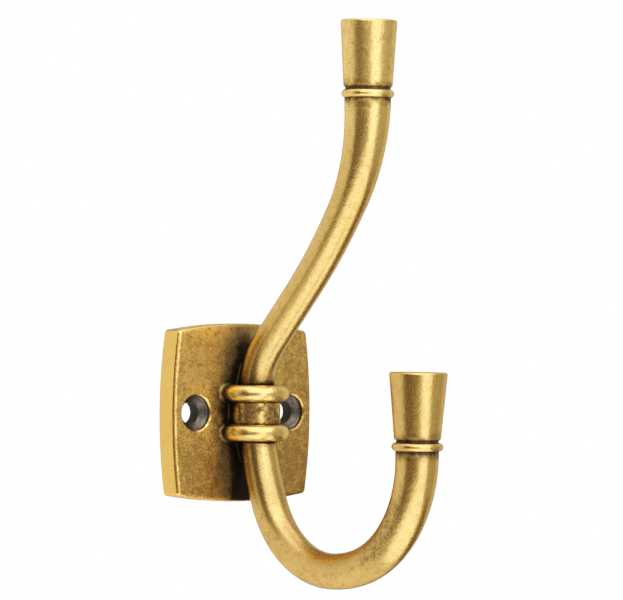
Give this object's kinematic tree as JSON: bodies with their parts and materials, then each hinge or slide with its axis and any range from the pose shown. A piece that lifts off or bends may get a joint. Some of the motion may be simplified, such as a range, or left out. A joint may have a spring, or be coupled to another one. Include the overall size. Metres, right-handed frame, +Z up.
{
  "type": "double robe hook",
  "caption": "Wall hook cast in one piece: a tapering round rod bent into a tall upper arm and a deep lower hook, with turned knobs and a beaded waist on a square plate.",
  "frame": {"origin": "centre of the wall plate's back face", "axes": "+Z up, +Y into the wall, so the hook stands out towards -Y; +X to the right as seen from in front"},
  "size_m": [0.038, 0.0669, 0.118],
  "materials": {
    "antique_brass": "burnished antique brass with dark patina in the recesses"
  },
  "bodies": {
    "root": {"robe_hook": "antique_brass"}
  },
  "joints": []
}
